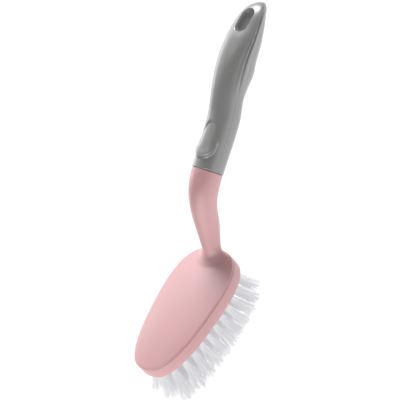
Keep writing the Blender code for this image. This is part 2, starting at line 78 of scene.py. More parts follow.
# Neck: one bend, from the foot on the cover to the mouth of the grip
NECK_FOOT_INSET = 0.0047
NECK_REACH = 0.0432
NECK_RISE = 0.0522
NECK_FOOT_ANGLE = math.radians(60.9)
MOUTH_ANGLE = math.radians(20.0)
NECK_FOOT_PULL = 0.0360
NECK_MOUTH_PULL = 0.0237
MOUTH_RADIUS = 0.0124
MOUTH_CHAMFER = 0.0006
FOOT_FLARE = 0.0095
FOOT_MARGIN = 0.0004        # between the flare's edge and the rim's rounding
FOOT_SOFTNESS = 0.0030      # over which the flare gives way to the rim
FOOT_FULLNESS = 1.66        # 1.66 rounds the flare like a circle
FOOT_PROBE_SHARE = 0.002    # over which the neck's slope is measured
# From the front (0) over the sides (0.5) to the back (1): shares of the flare's size
FOOT_SPREAD_SHARES = ((0, 0.7), (0.25, 0.88), (0.5, 1.05), (0.75, 1), (1, 0.9))
FOOT_RISE_SHARES = ((0, 0.6), (0.25, 0.85), (0.5, 1.05), (0.75, 0.8), (1, 0.35))
NECK_RADIUS_SHARES = ((0, 0.66), (0.12, 0.68), (0.3, 0.77), (0.55, 0.865), (0.81, 0.975), (1, 1))
NECK_BACK_SHARES = ((0, 0.35), (0.06, 0.56), (0.12, 0.82), (0.25, 1.05), (0.35, 1.04), (0.5, 1), (1, 1))
NECK_LEVEL_SHARE = 0.28     # up to here the sections turn from level to square
NECK_LEAN_SHARE = 0.5       # the least that a level section is shortened by its lean

# Grip: its midline rises from the mouth to a crest near its end
GRIP_REACH = 0.1325
GRIP_RISE = 0.0452
GRIP_LINE_SHARES = (
    (0, 0), (0.12, 0.125), (0.21, 0.215), (0.32, 0.353), (0.42, 0.55), (0.52, 0.72),
    (0.62, 0.855), (0.73, 0.955), (0.84, 1.03), (0.92, 1.04), (1, 0.975),
)
GRIP_RADIUS = 0.0131
GRIP_SECTION_POWER = 2.15
GRIP_NOSE_SHARE = 0.71      # where the rounding of the far end starts
GRIP_START_SHARE = 0.08     # up to here the sections turn out of the mouth's plane
GRIP_STEP_SHARE = 0.01      # over which the midline's slope is measured
# Share of the grip's length, and shares of the grip's radius: half width, upper and lower depth
GRIP_SECTION_SHARES = (
    (0, 0.947, 0.947, 0.93),
    (0.15, 0.952, 0.955, 0.945),
    (0.3, 0.965, 0.97, 0.96),
    (0.4, 0.98, 0.92, 1.0),
    (0.47, 1.02, 0.91, 1.22),
    (0.53, 1.05, 0.89, 1.46),
    (0.57, 1.075, 0.875, 1.52),
    (0.63, 1.105, 0.82, 1.42),
    (0.72, 1.125, 0.67, 1.3),
    (0.82, 1.11, 0.475, 1.17),
    (1, 1.12, 0.55, 1.06),
)

# Thumb rest: a drop-shaped pad on the grip's top, its lip towards the head.
# Depths are measured inwards from its outline.
PAD_LENGTH = 0.0330
PAD_START = 0.0065          # from the mouth to the pad's lip
PAD_RADIUS = 0.0126
PAD_TIP_RADIUS = 0.0052
PAD_STEP_RISE = 0.0008      # height of the band at the pad's lower end
PAD_STEP_WIDTH = 0.0020
PAD_LIP_RISE = 0.0011       # and of the lip over the band
PAD_LIP_START = 0.0024
PAD_LIP_WIDTH = 0.0012
PAD_LIP_END = 0.0040        # where the lip falls to the pad's middle
PAD_LIP_FALL = 0.0060
PAD_LIP_LENGTH = 0.0090     # over which band and lip fade into the pad's side
PAD_SIDE_WIDTH = 0.0022     # width of the side's slope
PAD_MIDDLE_START = 0.0120   # from here to its tip the pad's middle sinks into the grip
PAD_MIDDLE_RISE = 0.0011
PAD_MIDDLE_SINK = 0.0011

# Creases along both flanks of the grip
CREASE_DEPTH = 0.0005
CREASE_HALF_WIDTH = 0.0016
CREASE_SHOULDER = 0.0006    # how far the skin swells on both sides of a crease
CREASE_ANGLE = math.radians(84)
CREASE_DEPTH_SHARES = ((0, 0), (0.42, 0), (0.54, 1), (0.86, 1), (0.965, 0), (1, 0))

# Hanging slot, straight down through the grip's far end, with a rounded rim
SLOT_LENGTH = 0.0211
SLOT_WIDTH = 0.0107
SLOT_END_INSET = 0.0224
SLOT_ROUND = 0.0016
SLOT_OVERRUN = 0.0020

# Bristles: filaments that leave a hole together and part into locks towards their tips
FILAMENTS = 100
FILAMENT_RADIUS = 0.00019
FILAMENT_SIDES = 4
FILAMENT_STEPS = 6
LOCKS = 6
LOCK_SHARE = 0.42           # how far a filament gives up its own place for its lock's
LOCK_SPREAD = 0.0011
LOCK_NEAR_SHARE = 0.62      # of the tips' reach, for the locks that end nearest
LOCK_TURN = 0.3             # how far a lock strays from its even place, in radians
TIP_REACH = 0.0051
TIP_JITTER = 0.00035
TIP_LIMIT = 0.0336          # the furthest that a tip reaches to either side
TIP_RAGGED = 0.0013         # how much shorter a whole lock may be
TIP_UNEVEN = 0.0007         # and a filament within its lock
STRAY_SHARE = 0.05
STRAY_REACH = 0.0022
FLARE_POWER = 1.25
GOLDEN_ANGLE = math.pi * (3 - math.sqrt(5))     # spreads the filaments evenly in their hole
FRONT_LEAN_SHARE = 0.35     # how much further the tufts at the head's front lean out
FRONT_SPREAD_SHARE = 0.50   # and how much wider they spread
FRONT_LOCK_SHARE = 0.45     # of their locks' pull, which is weaker there
FRONT_MORE_SHARE = 0.60     # and how many more filaments they show
FRONT_START = 0.0200        # from the middle of the head to where that begins
FRONT_LENGTH = 0.0300
REAR_LEAN = 0.0022          # how far the last tufts lean back
REAR_START = 0.0120         # from the middle of the head to where that begins
REAR_LENGTH = 0.0360

# Colours and surfaces
PINK = (0.712, 0.403, 0.417)
BLOCK_PINK = (0.692, 0.386, 0.4)
GRIP_GREY = (0.283, 0.285, 0.281)
NYLON_WHITE = (0.93, 0.93, 0.945)
PINK_ROUGHNESS = 0.44
GREY_ROUGHNESS = 0.34
NYLON_ROUGHNESS = 0.40
NYLON_PAINTED_GLOW = 0.085          # painted glow: the filaments give off light of their own, standing in for the light that milky filaments pass on to each other
GRAIN = 0.10                # how strong the mouldings' grain is
GRAIN_SCALE = 2600.0
GRAIN_DEPTH = 0.0001
GLOSS_WANDER = (-0.04, 0.05)    # how far a moulding's roughness strays from its own
MOTTLE = 0.02               # and its colour, as a share
MOTTLE_SCALE = 34.0
STREAK_SCALE = 900.0        # of the streaks in the nylon

# Studio light: soft lobes in the world, each with its azimuth and elevation in degrees,
# its sharpness and its strength
LIGHT_LOBES = (
    (20, 38, 60, 17),       # two key lights, high on the far side
    (40, 38, 60, 17),
    (-150, 12, 60, 7.5),    # two low ones on the camera's side
    (-70, 12, 60, 5.5),
    (180, 0, 12, 4),        # broad fill from in front of the head
    (80, 0, 12, 2.5),       # from the far side
    (-90, 0, 12, 0.5),      # and from the near side
    (40, 22, 60, 1.5),      # small ones that show in the grip's gloss
    (60, 22, 60, 1.5),
    (80, 22, 60, 1),
    (90, 6, 60, 1.5),
    (100, 38, 60, 1.5),
    (90, 70, 60, 1.5),
)
FLOOR_GLOW = 0.97
FLOOR_GREY = 0.1
FLOOR_REACH = 3.0
BACKDROP_GREY = 0.92

# How finely the shapes are cut into faces
HEAD_SIDES = 360
GRIP_SIDES = 240
SLOT_SIDES = 96
HOLE_SIDES = 20
EDGE_STEPS = 6
SEAM_STEPS = 3
MOUTH_STEPS = 4
RIM_STEPS = 10
DOME_STEPS = 60
DOME_CROWDING = 1.3         # draws the dome's rings together at the neck's foot
FLARE_STEPS = 22
NECK_STEPS = 100
PAD_STEPS = 110
GRIP_STEPS = 80
NOSE_STEPS = 70
NOSE_END = 89               # degrees of the far end's rounding that are drawn
SLOT_ROUND_STEPS = 9
SLOT_ROUND_END = 72         # and of the slot's
SHARP_ANGLE = math.radians(38)     # edges sharper than this stay visible
GRIP_SHARP_ANGLE = math.radians(50)
FILAMENT_SHARP_ANGLE = math.radians(75)

# How finely curves are measured where their points are spaced out
OUTLINE_SAMPLES = 20000
TURN_SAMPLES = 8001
RISE_SAMPLES = 400
HALVINGS = 40

# Heights and places that follow from the sizes above
COVER_BOTTOM = BLOCK_TOP + FIT_GAP
COVER_RIM = COVER_BOTTOM + RIM_HEIGHT
FOOT = np.array((HEAD_LENGTH / 2 - NECK_FOOT_INSET, 0, COVER_RIM))
MOUTH = FOOT + np.array((NECK_REACH, 0, NECK_RISE))

# The photograph's camera
CAMERA_AZIMUTH = -113.14    # in degrees
CAMERA_ELEVATION = 40.02
CAMERA_ROLL = -42.75
IMAGE_PIXELS = 400
PIXELS_PER_METRE = 1280
ANCHOR_PIXEL = (182.02, 309.35)
ANCHOR_POINT = Vector((0, 0, BLOCK_TOP))
CAMERA_DISTANCE = 2.4
SENSOR_WIDTH = 36.0


def smooth_value(table, share, column=1):
    """The table's column at shares of the length, on a smooth line through its points."""
    table = np.array(table, dtype=float)
    x, y = table[:, 0], table[:, column]
    before = np.maximum(np.arange(len(x)) - 1, 0)
    after = np.minimum(np.arange(len(x)) + 1, len(x) - 1)
    slope = (y[after] - y[before]) / (x[after] - x[before])
    i = np.clip(np.searchsorted(x, share, side="right") - 1, 0, len(x) - 2)
    span = x[i + 1] - x[i]
    t = (share - x[i]) / span
    return (
        (2 * t**3 - 3 * t**2 + 1) * y[i]
        + (t**3 - 2 * t**2 + t) * span * slope[i]
        + (3 * t**2 - 2 * t**3) * y[i + 1]
        + (t**3 - t**2) * span * slope[i + 1]
    )


def eased(value):
    """A smooth step from 0 to 1."""
    value = np.clip(value, 0, 1)
    return value * value * (3 - 2 * value)


def turn(count, start=0.0):
    """Angles once round, evenly spaced."""
    return start + 2 * np.pi * np.arange(count) / count


def signed_power(value, power):
    """A power that keeps the value's sign."""
    return np.sign(value) * np.abs(value) ** power


def stack(x, y, z):
    """Points from arrays or numbers for each axis."""
    return np.stack(np.broadcast_arrays(x, y, z), axis=-1).astype(float)


def normalized(vectors):
    """The same directions at length 1."""
    return vectors / np.linalg.norm(vectors, axis=-1, keepdims=True)


# Objects


def new_piece(name, points, faces, sharp=SHARP_ANGLE):
    """An object from points and faces, shaded smooth except at sharp edges."""
    data = bpy.data.meshes.new(name)
    data.from_pydata([tuple(p) for p in points], [], faces)
    data.validate()
    made = bpy.data.objects.new(name, data)
    bpy.context.scene.collection.objects.link(made)
    tidy = bmesh.new()
    tidy.from_mesh(data)
    bmesh.ops.recalc_face_normals(tidy, faces=tidy.faces)
    tidy.to_mesh(data)
    tidy.free()
    data.shade_smooth()
    data.set_sharp_from_angle(angle=sharp)
    return made


def loft(name, rings):
    """A closed piece through rings with as many points each."""
    count = len(rings[0])
    points = np.concatenate(rings)
    faces = []
    for k in range(len(rings) - 1):
        low, high = k * count, (k + 1) * count
        for i in range(count):
            j = (i + 1) % count
            faces.append((low + i, low + j, high + j, high + i))
    faces.append(tuple(range(count)))
    faces.append(tuple(range(len(points) - count, len(points))))
    return new_piece(name, points, faces)


def cut(target, cutters):
    """Cuts the cutters out of the target and removes them."""
    for cutter in cutters:
        modifier = target.modifiers.new("cut", "BOOLEAN")
        modifier.operation = "DIFFERENCE"
        modifier.solver = "EXACT"
        modifier.object = cutter
    graph = bpy.context.evaluated_depsgraph_get()
    cut_mesh = bpy.data.meshes.new_from_object(target.evaluated_get(graph))
    target.modifiers.clear()
    target.data = cut_mesh
    for cutter in cutters:
        bpy.data.objects.remove(cutter)


def join(name, pieces):
    """One object that holds several closed shapes."""
    whole = bmesh.new()
    for piece in pieces:
        whole.from_mesh(piece.data)
        bpy.data.objects.remove(piece)
    data = bpy.data.meshes.new(name)
    whole.to_mesh(data)
    whole.free()
    made = bpy.data.objects.new(name, data)
    bpy.context.scene.collection.objects.link(made)
    return made


def dress(piece, material, slot, *nodes):
    """Gives a piece its material and puts it in the place of its CAD nodes."""
    piece.data.materials.clear()
    piece.data.materials.append(material)
    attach(piece, "root")
    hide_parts(*nodes)


# Head


def egg_point(angle, inset=0.0):
    """Points of the head's outline drawn in by inset; angle 0 is its front tip."""
    along = -signed_power(np.cos(angle), 2 / EGG_POWER)
    across = signed_power(np.sin(angle), 2 / EGG_POWER)
    x = (HEAD_LENGTH / 2 - inset) * along
    y = (HEAD_WIDTH / 2 - inset) * (1 + EGG_TAPER_SHARE * along) * across
    return x, y


def even_angles(count):
    """Angles that put points evenly along the head's outline."""
    angles = np.linspace(0, 2 * np.pi, OUTLINE_SAMPLES)
    x, y = egg_point(angles)
    length = np.concatenate([[0], np.cumsum(np.hypot(np.diff(x), np.diff(y)))])
    return np.interp(np.arange(count) / count * length[-1], length, angles)


def egg_ring(inset, height, angles):
    """The head's outline as a level ring of points."""
    x, y = egg_point(angles, inset)
    return stack(x, y, height)


def dome_lift(x, y):
    """How far the cover's top rises above its rim."""
    along = x / (HEAD_LENGTH / 2)
    across = y / (HEAD_WIDTH / 2 * (1 + EGG_TAPER_SHARE * along))
    out = (np.abs(along) ** EGG_POWER + np.abs(across) ** EGG_POWER) ** (2 / EGG_POWER)
    return DOME_RISE * np.maximum(1 - out, 0)


def rim_rings(angles):
    """The cover's edge: a chamfer at the seam, then a rounding that ends in the dome's slope."""
    rings = []
    for inset in (COVER_CHAMFER, 0):
        rings.append(egg_ring(inset, COVER_BOTTOM + COVER_CHAMFER - inset, angles))
    inner, outer = egg_ring(RIM_ROUND, 0, angles), egg_ring(0, 0, angles)
    away = normalized(outer - inner)
    slope = np.arctan2(dome_lift(inner[:, 0], inner[:, 1]), np.linalg.norm(inner - outer, axis=1))
    end = outer - away * (RIM_ROUND * (1 - np.sin(slope)))[:, None]
    top = COVER_RIM + dome_lift(end[:, 0], end[:, 1]) - RIM_ROUND * np.cos(slope)
    for step in np.linspace(0, 1, RIM_STEPS):
        angle = (math.pi / 2 - slope) * step
        ring = outer - away * (RIM_ROUND * (1 - np.cos(angle)))[:, None]
        ring[:, 2] = top + RIM_ROUND * np.sin(angle)
        rings.append(ring)
    return rings


def rounded(inset, low, high, steps):
    """(inset, height) round a quarter edge that turns inwards from low to high."""
    for i in range(steps + 1):
        angle = math.pi / 2 * i / steps
        yield inset * (1 - math.cos(angle)), low + (high - low) * math.sin(angle)


def block_rings():
    """The block from below upwards, with its edges rounded."""
    low = list(rounded(BLOCK_EDGE, BLOCK_BOTTOM + BLOCK_EDGE, BLOCK_BOTTOM, EDGE_STEPS))
    high = list(rounded(SEAM_CHAMFER, BLOCK_TOP - SEAM_CHAMFER, BLOCK_TOP, SEAM_STEPS))
    angles = even_angles(HEAD_SIDES)
    return [egg_ring(inset, height, angles) for inset, height in low[::-1] + high]


def tuft_ends(node):
    """Where a CAD tuft's tip and its hole are, seen from above."""
    points = np.array([v.co for v in node.data.vertices])
    tip = points[points[:, 2] < FIT_GAP]
    root = points[np.abs(points[:, 2] - BLOCK_BOTTOM) < FIT_GAP]
    return [(end.min(axis=0) + end.max(axis=0))[:2] / 2 for end in (tip, root)]


def hole_cutter(place):
    """A blind hole with a countersunk mouth."""
    profile = (
        (TUFT_RADIUS + HOLE_COUNTERSINK * 2, BLOCK_BOTTOM - HOLE_COUNTERSINK),
        (TUFT_RADIUS + FIT_GAP, BLOCK_BOTTOM + HOLE_COUNTERSINK),
        (TUFT_RADIUS + FIT_GAP, BLOCK_BOTTOM + TUFT_DEPTH),
    )
    angle = turn(HOLE_SIDES)
    return loft("hole", [
        stack(place[0] + radius * np.cos(angle), place[1] + radius * np.sin(angle), height)
        for radius, height in profile
    ])


def make_block(tufts):
    """The block, with a hole for each tuft."""
    block = loft("block_moulding", block_rings())
    cut(block, [join("holes", [hole_cutter(tuft_ends(node)[1]) for node in tufts])])
    return block


# Neck, drawn up out of the cover in one skin


def neck_line(share):
    """The neck's midline and its direction, at shares of its bend."""
    up = np.array((math.cos(NECK_FOOT_ANGLE), 0, math.sin(NECK_FOOT_ANGLE)))
    on = np.array((math.cos(MOUTH_ANGLE), 0, math.sin(MOUTH_ANGLE)))
    a, b, c, d = FOOT, FOOT + up * NECK_FOOT_PULL, MOUTH - on * NECK_MOUTH_PULL, MOUTH
    t = np.asarray(share, dtype=float)[..., None]
    s = 1 - t
    point = a * s**3 + b * (3 * s * s * t) + c * (3 * s * t * t) + d * t**3
    way = (b - a) * (s * s) + (c - b) * (2 * s * t) + (d - c) * (t * t)
    return point, normalized(way)


def neck_points(share, angle, spread=0.0, inset=0.0, shift=0.0):
    """Points of the neck's skin; near the foot its sections lie level."""
    share, angle = np.broadcast_arrays(np.asarray(share, dtype=float), angle)
    centre, way = neck_line(share)
    centre = centre + way * shift
    radius = smooth_value(NECK_RADIUS_SHARES, share) * MOUTH_RADIUS - inset
    square = stack(way[..., 2], 0, -way[..., 0])
    level = (1 - eased(share / NECK_LEVEL_SHARE))[..., None]
    back = normalized(square * (1 - level) + np.array((1, 0, 0)) * level)
    lean = np.maximum(np.sum(back * square, axis=-1), NECK_LEAN_SHARE)
    x, y = np.cos(angle), np.sin(angle)
    depth = radius / lean * np.where(x > 0, smooth_value(NECK_BACK_SHARES, share), 1)
    across = stack(0, (radius + spread) * y, 0)
    return centre + back * ((depth + spread) * x)[..., None] + across


def rim_distance(way):
    """How far the inner edge of the rim's rounding is from the foot's middle, along each way."""
    low, high = np.zeros(len(way)), np.full(len(way), HEAD_LENGTH)
    along, across = HEAD_LENGTH / 2 - RIM_ROUND, HEAD_WIDTH / 2 - RIM_ROUND
    for _ in range(HALVINGS):
        middle = (low + high) / 2
        x = (FOOT[0] + way[:, 0] * middle) / along
        y = way[:, 1] * middle / (across * (1 + EGG_TAPER_SHARE * x))
        inside = np.abs(x) ** EGG_POWER + np.abs(y) ** EGG_POWER < 1
        low, high = np.where(inside, middle, low), np.where(inside, high, middle)
    return low


def flare_edge(angle):
    """The outline of the neck's flare on the cover, and the rim's points beyond it."""
    back = (1 + np.cos(angle)) / 2
    wanted = neck_points(0, angle, smooth_value(FOOT_SPREAD_SHARES, back) * FOOT_FLARE) - FOOT
    reach = np.linalg.norm(wanted[:, :2], axis=1)
    way = wanted[:, :2] / reach[:, None]
    rim = rim_distance(way)
    room = rim - FOOT_MARGIN
    blend = np.maximum(1 - np.abs(reach - room) / FOOT_SOFTNESS, 0)
    reach = np.minimum(reach, room) - FOOT_SOFTNESS / 4 * blend * blend
    edge = stack(FOOT[0] + way[:, 0] * reach, way[:, 1] * reach, COVER_RIM)
    edge[:, 2] += dome_lift(edge[:, 0], edge[:, 1])
    return edge, stack(FOOT[0] + way[:, 0] * rim, way[:, 1] * rim, COVER_RIM)


def head_turns():
    """Turns round the neck, and those of the head's outline in the same directions."""
    dense = math.pi - np.linspace(0, 2 * np.pi, TURN_SAMPLES)
    edge, rim = flare_edge(dense)
    length = [
        np.concatenate([[0], np.cumsum(np.linalg.norm(np.diff(line, axis=0), axis=1))])
        for line in (edge, rim)
    ]
    spread = length[0] / length[0][-1] + length[1] / length[1][-1]
    angle = np.interp(np.arange(HEAD_SIDES) / HEAD_SIDES * spread[-1], spread, dense)
    rim = flare_edge(angle)[1]
    along = rim[:, 0] / (HEAD_LENGTH / 2 - RIM_ROUND)
    across = rim[:, 1] / ((HEAD_WIDTH / 2 - RIM_ROUND) * (1 + EGG_TAPER_SHARE * along))
    return angle, np.arctan2(signed_power(across, EGG_POWER / 2), -signed_power(along, EGG_POWER / 2))


def foot_rings(angle, rim):
    """From the rim across the dome to the foot, and up its flare into the neck."""
    edge = flare_edge(angle)[0]
    rings = []
    for share in 1 - (1 - np.linspace(0, 1, DOME_STEPS)[1:]) ** DOME_CROWDING:
        ring = rim * (1 - share) + edge * share
        ring[:, 2] = COVER_RIM + dome_lift(ring[:, 0], ring[:, 1])
        rings.append(ring)
    corner = neck_points(0, angle)
    corner[:, 2] += dome_lift(corner[:, 0], corner[:, 1])
    shares = np.linspace(0, 0.5, RISE_SAMPLES)
    rise = smooth_value(FOOT_RISE_SHARES, (1 + np.cos(angle)) / 2) * FOOT_FLARE
    top = np.interp(rise, neck_line(shares)[0][:, 2] - FOOT[2], shares)
    end = neck_points(top, angle)
    way = normalized(neck_points(top + FOOT_PROBE_SHARE, angle) - end)
    leave = (corner - edge) * FOOT_FULLNESS
    arrive = way * (np.linalg.norm(end - corner, axis=1) * FOOT_FULLNESS)[:, None]
    for t in np.linspace(0, 1, FLARE_STEPS)[1:]:
        rings.append(
            edge * (2 * t**3 - 3 * t**2 + 1) + leave * (t**3 - 2 * t**2 + t)
            + end * (3 * t**2 - 2 * t**3) + arrive * (t**3 - t**2)
        )
    even = math.pi - turn(len(angle))
    for i in range(1, NECK_STEPS):
        share = top + (1 - top) * i / NECK_STEPS
        rings.append(neck_points(share, angle + (even - angle) * eased(i / NECK_STEPS)))
    return rings, even


def make_head():
    """The domed cover and the neck are one moulding."""
    neck, outline = head_turns()
    rings = rim_rings(outline)
    drawn, angle = foot_rings(neck, rings[-1])
    rings += drawn
    rings += [
        neck_points(1, angle, inset=inset, shift=-FIT_GAP - MOUTH_CHAMFER + height)
        for inset, height in rounded(MOUTH_CHAMFER, 0, MOUTH_CHAMFER, MOUTH_STEPS)
    ]
    return loft("head_moulding", rings)


# Grip


def grip_line(share):
    """The grip's midline and its direction, at shares of its reach."""
    rise = smooth_value(GRIP_LINE_SHARES, share) * GRIP_RISE
    point = MOUTH + stack(share * GRIP_REACH, 0, rise)
    low, high = np.maximum(share - GRIP_STEP_SHARE, 0), np.minimum(share + GRIP_STEP_SHARE, 1)
    climb = smooth_value(GRIP_LINE_SHARES, high) - smooth_value(GRIP_LINE_SHARES, low)
    way = normalized(stack((high - low) * GRIP_REACH, 0, climb * GRIP_RISE))
    start = np.array((math.cos(MOUTH_ANGLE), 0, math.sin(MOUTH_ANGLE)))
    turned = eased(share / GRIP_START_SHARE)[..., None]
    return point, normalized(start * (1 - turned) + way * turned)


def pad_depth(across, along):
    """How far a place is inside the thumb rest's drop-shaped outline; outside is negative."""
    across = np.abs(across)
    along = along - PAD_START - PAD_RADIUS
    length = PAD_LENGTH - PAD_RADIUS - PAD_TIP_RADIUS
    sine = (PAD_RADIUS - PAD_TIP_RADIUS) / length
    cosine = math.sqrt(1 - sine * sine)
    side = along * cosine - across * sine
    head = PAD_RADIUS - np.hypot(across, along)
    tip = PAD_TIP_RADIUS - np.hypot(across, along - length)
    flank = PAD_RADIUS - across * cosine - along * sine
    return np.where(side < 0, head, np.where(side > cosine * length, tip, flank))


def pad_relief(across, along):
    """Height of the thumb rest above the grip: a band and a lip at its lower end, a sinking middle."""
    depth = pad_depth(across, along)
    near = 1 - eased((along - PAD_START - PAD_LIP_END) / PAD_LIP_LENGTH)
    sinking = (along - PAD_MIDDLE_START) / (PAD_START + PAD_LENGTH - PAD_MIDDLE_START)
    middle = PAD_MIDDLE_RISE - (PAD_MIDDLE_RISE + PAD_MIDDLE_SINK) * np.clip(sinking, 0, 1)
    band = PAD_STEP_RISE * near + middle * (1 - near)
    width = PAD_STEP_WIDTH * near + PAD_SIDE_WIDTH * (1 - near)
    lip = PAD_LIP_RISE * near * eased((depth - PAD_LIP_START) / PAD_LIP_WIDTH)
    fall = (PAD_STEP_RISE + PAD_LIP_RISE - middle) * near * eased((depth - PAD_LIP_END) / PAD_LIP_FALL)
    return band * eased(depth / width) + lip - fall


def grip_points(share, angle, inset=0.0):
    """Points of the grip's skin, with the thumb rest and the creases worked in."""
    share, angle = np.broadcast_arrays(share, angle)
    centre, way = grip_line(share)
    top = stack(-way[..., 2], 0, way[..., 0])
    nose = np.maximum(share - GRIP_NOSE_SHARE, 0) / (1 - GRIP_NOSE_SHARE)
    shrink = np.sqrt(np.maximum(1 - nose * nose, 0))
    width, upper, lower = (
        smooth_value(GRIP_SECTION_SHARES, share, column) * GRIP_RADIUS * shrink - inset
        for column in (1, 2, 3)
    )
    x = width * signed_power(np.sin(angle), 2 / GRIP_SECTION_POWER)
    z = signed_power(np.cos(angle), 2 / GRIP_SECTION_POWER)
    z = z * np.where(z > 0, upper, lower)
    away = np.abs(np.abs(angle) - CREASE_ANGLE) * width / CREASE_HALF_WIDTH
    swell = CREASE_SHOULDER * eased(away) * (1 - eased((away - 1) / 2))
    relief = (swell - CREASE_DEPTH * (1 - eased(away))) * smooth_value(CREASE_DEPTH_SHARES, share)
    along = share * GRIP_REACH / math.cos(MOUTH_ANGLE)
    on_top = np.abs(angle) < math.pi / 2
    relief = relief + np.where(on_top, pad_relief(angle * GRIP_RADIUS, along), 0)
    grow = 1 + relief * shrink / np.maximum(np.hypot(x, z), FIT_GAP)
    return centre + stack(0, x * grow, 0) + top * (z * grow)[..., None]


def grip_shares():
    """Stations along the grip: close together at the thumb rest and round the far end."""
    pad_end = (PAD_START + PAD_LENGTH) / GRIP_REACH
    near = np.linspace(MOUTH_CHAMFER / GRIP_REACH, pad_end, PAD_STEPS)
    middle = np.linspace(pad_end, GRIP_NOSE_SHARE, GRIP_STEPS)[1:]
    end = np.sin(np.radians(np.linspace(0, NOSE_END, NOSE_STEPS)[1:]))
    return np.concatenate([near, middle, GRIP_NOSE_SHARE + (1 - GRIP_NOSE_SHARE) * end])


def slot_outline(grow):
    """A long hole with round ends, grown outwards."""
    middle = MOUTH[0] + GRIP_REACH - SLOT_END_INSET
    half = (SLOT_LENGTH - SLOT_WIDTH) / 2
    angle = turn(SLOT_SIDES, start=-math.pi / 2 + math.pi / SLOT_SIDES)
    end = np.where(np.cos(angle) >= 0, half, -half)
    reach = SLOT_WIDTH / 2 + grow
    return middle + end + reach * np.cos(angle), reach * np.sin(angle)


def slot_rings(grip):
    """A cutter that widens just under the grip's skin, above and below."""
    tree = BVHTree.FromObject(grip, bpy.context.evaluated_depsgraph_get())
    far = MOUTH[2] + GRIP_RISE + GRIP_REACH

    def skin(x, y, side):
        """Heights of the grip's skin, seen from above (1) or below (-1)."""
        hits = [tree.ray_cast(Vector((a, b, side * far)), Vector((0, 0, -side)))[0] for a, b in zip(x, y)]
        return np.array([hit.z for hit in hits])

    rings = []
    for side in (-1, 1):
        half = []
        for angle in np.radians(np.linspace(0, SLOT_ROUND_END, SLOT_ROUND_STEPS)):
            x, y = slot_outline(SLOT_ROUND * (1 - math.cos(angle)))
            depth = SLOT_ROUND * (1 - math.sin(angle))
            half.append(stack(x, y, skin(x, y, side) - side * depth))
        over = half[-1].copy()
        over[:, 2] += side * SLOT_OVERRUN
        half.append(over)
        rings += half[::-1] if side < 0 else half
    return rings


def make_grip():
    """The grip, with a thumb rest, a finger stop and a slot to hang by."""
    angle = turn(GRIP_SIDES)
    angle = np.where(angle > math.pi, angle - 2 * math.pi, angle)
    mouth = [
        grip_points(np.array(height / GRIP_REACH), angle, inset=inset)
        for inset, height in ((MOUTH_CHAMFER, 0), (MOUTH_CHAMFER / 3, MOUTH_CHAMFER / 3))
    ]
    rings = mouth + [grip_points(np.array(share), angle) for share in grip_shares()]
    grip = loft("grip_moulding", rings)
    cut(grip, [loft("slot", slot_rings(grip))])
    grip.data.shade_smooth()
    grip.data.set_sharp_from_angle(angle=GRIP_SHARP_ANGLE)
    return grip


# Bristles


def tuft_locks(reach, dice):
    """Where a tuft's locks end beside its middle, and how much shorter each one is."""
    locks = []
    start = dice.random() * math.tau
    for k in range(LOCKS):
        away = reach * (LOCK_NEAR_SHARE + (1 - LOCK_NEAR_SHARE) * dice.random())
        turned = start + math.tau * k / LOCKS + dice.uniform(-LOCK_TURN, LOCK_TURN)
        locks.append((away * math.cos(turned), away * math.sin(turned), TIP_RAGGED * dice.random()))
    locks.append((0.0, 0.0, TIP_RAGGED * dice.random() / 2))
    return locks


def filament_paths(tip, root, dice):
    """Midlines of one tuft's filaments, from inside the hole to their ragged tips."""
    front = eased((-root[0] - FRONT_START) / FRONT_LENGTH)
    rear = eased((root[0] - REAR_START) / REAR_LENGTH)
    tip = tip + (tip - root) * FRONT_LEAN_SHARE * front + np.array((REAR_LEAN, 0)) * rear
    pull = LOCK_SHARE * (1 - (1 - FRONT_LOCK_SHARE) * front)
    own = 1 - pull
    reach = TIP_REACH * (1 + FRONT_SPREAD_SHARE * front)
    count = round(FILAMENTS * (1 + FRONT_MORE_SHARE * front))
    locks = tuft_locks(reach, dice)
    room = TUFT_RADIUS - FILAMENT_RADIUS
    paths = []
    for k in range(count):
        out = math.sqrt((k + 0.5) / count)
        x, y = out * math.cos(k * GOLDEN_ANGLE), out * math.sin(k * GOLDEN_ANGLE)
        lock = min(locks, key=lambda end: math.hypot(end[0] - x * reach, end[1] - y * reach))
        spread = LOCK_SPREAD * math.sqrt(dice.random())
        turned = dice.random() * math.tau
        if dice.random() < STRAY_SHARE:
            spread += STRAY_REACH * dice.random()
        lean_x = lock[0] * pull + x * reach * own + spread * math.cos(turned)
        lean_y = lock[1] * pull + y * reach * own + spread * math.sin(turned)
        low = FILAMENT_RADIUS + lock[2] + TIP_UNEVEN * dice.random()
        base = np.array((root[0] + x * room, root[1] + y * room))
        end_x = tip[0] + lean_x + dice.gauss(0, TIP_JITTER)
        end_y = tip[1] + lean_y + dice.gauss(0, TIP_JITTER)
        end = np.array((end_x, min(max(end_y, -TIP_LIMIT), TIP_LIMIT)))
        path = [(*base, BLOCK_BOTTOM + TUFT_DEPTH / 2)]
        for share in np.linspace(0, 1, FILAMENT_STEPS):
            place = base + (end - base) * share**FLARE_POWER
            path.append((*place, BLOCK_BOTTOM + (low - BLOCK_BOTTOM) * share))
        paths.append(np.array(path))
    return paths


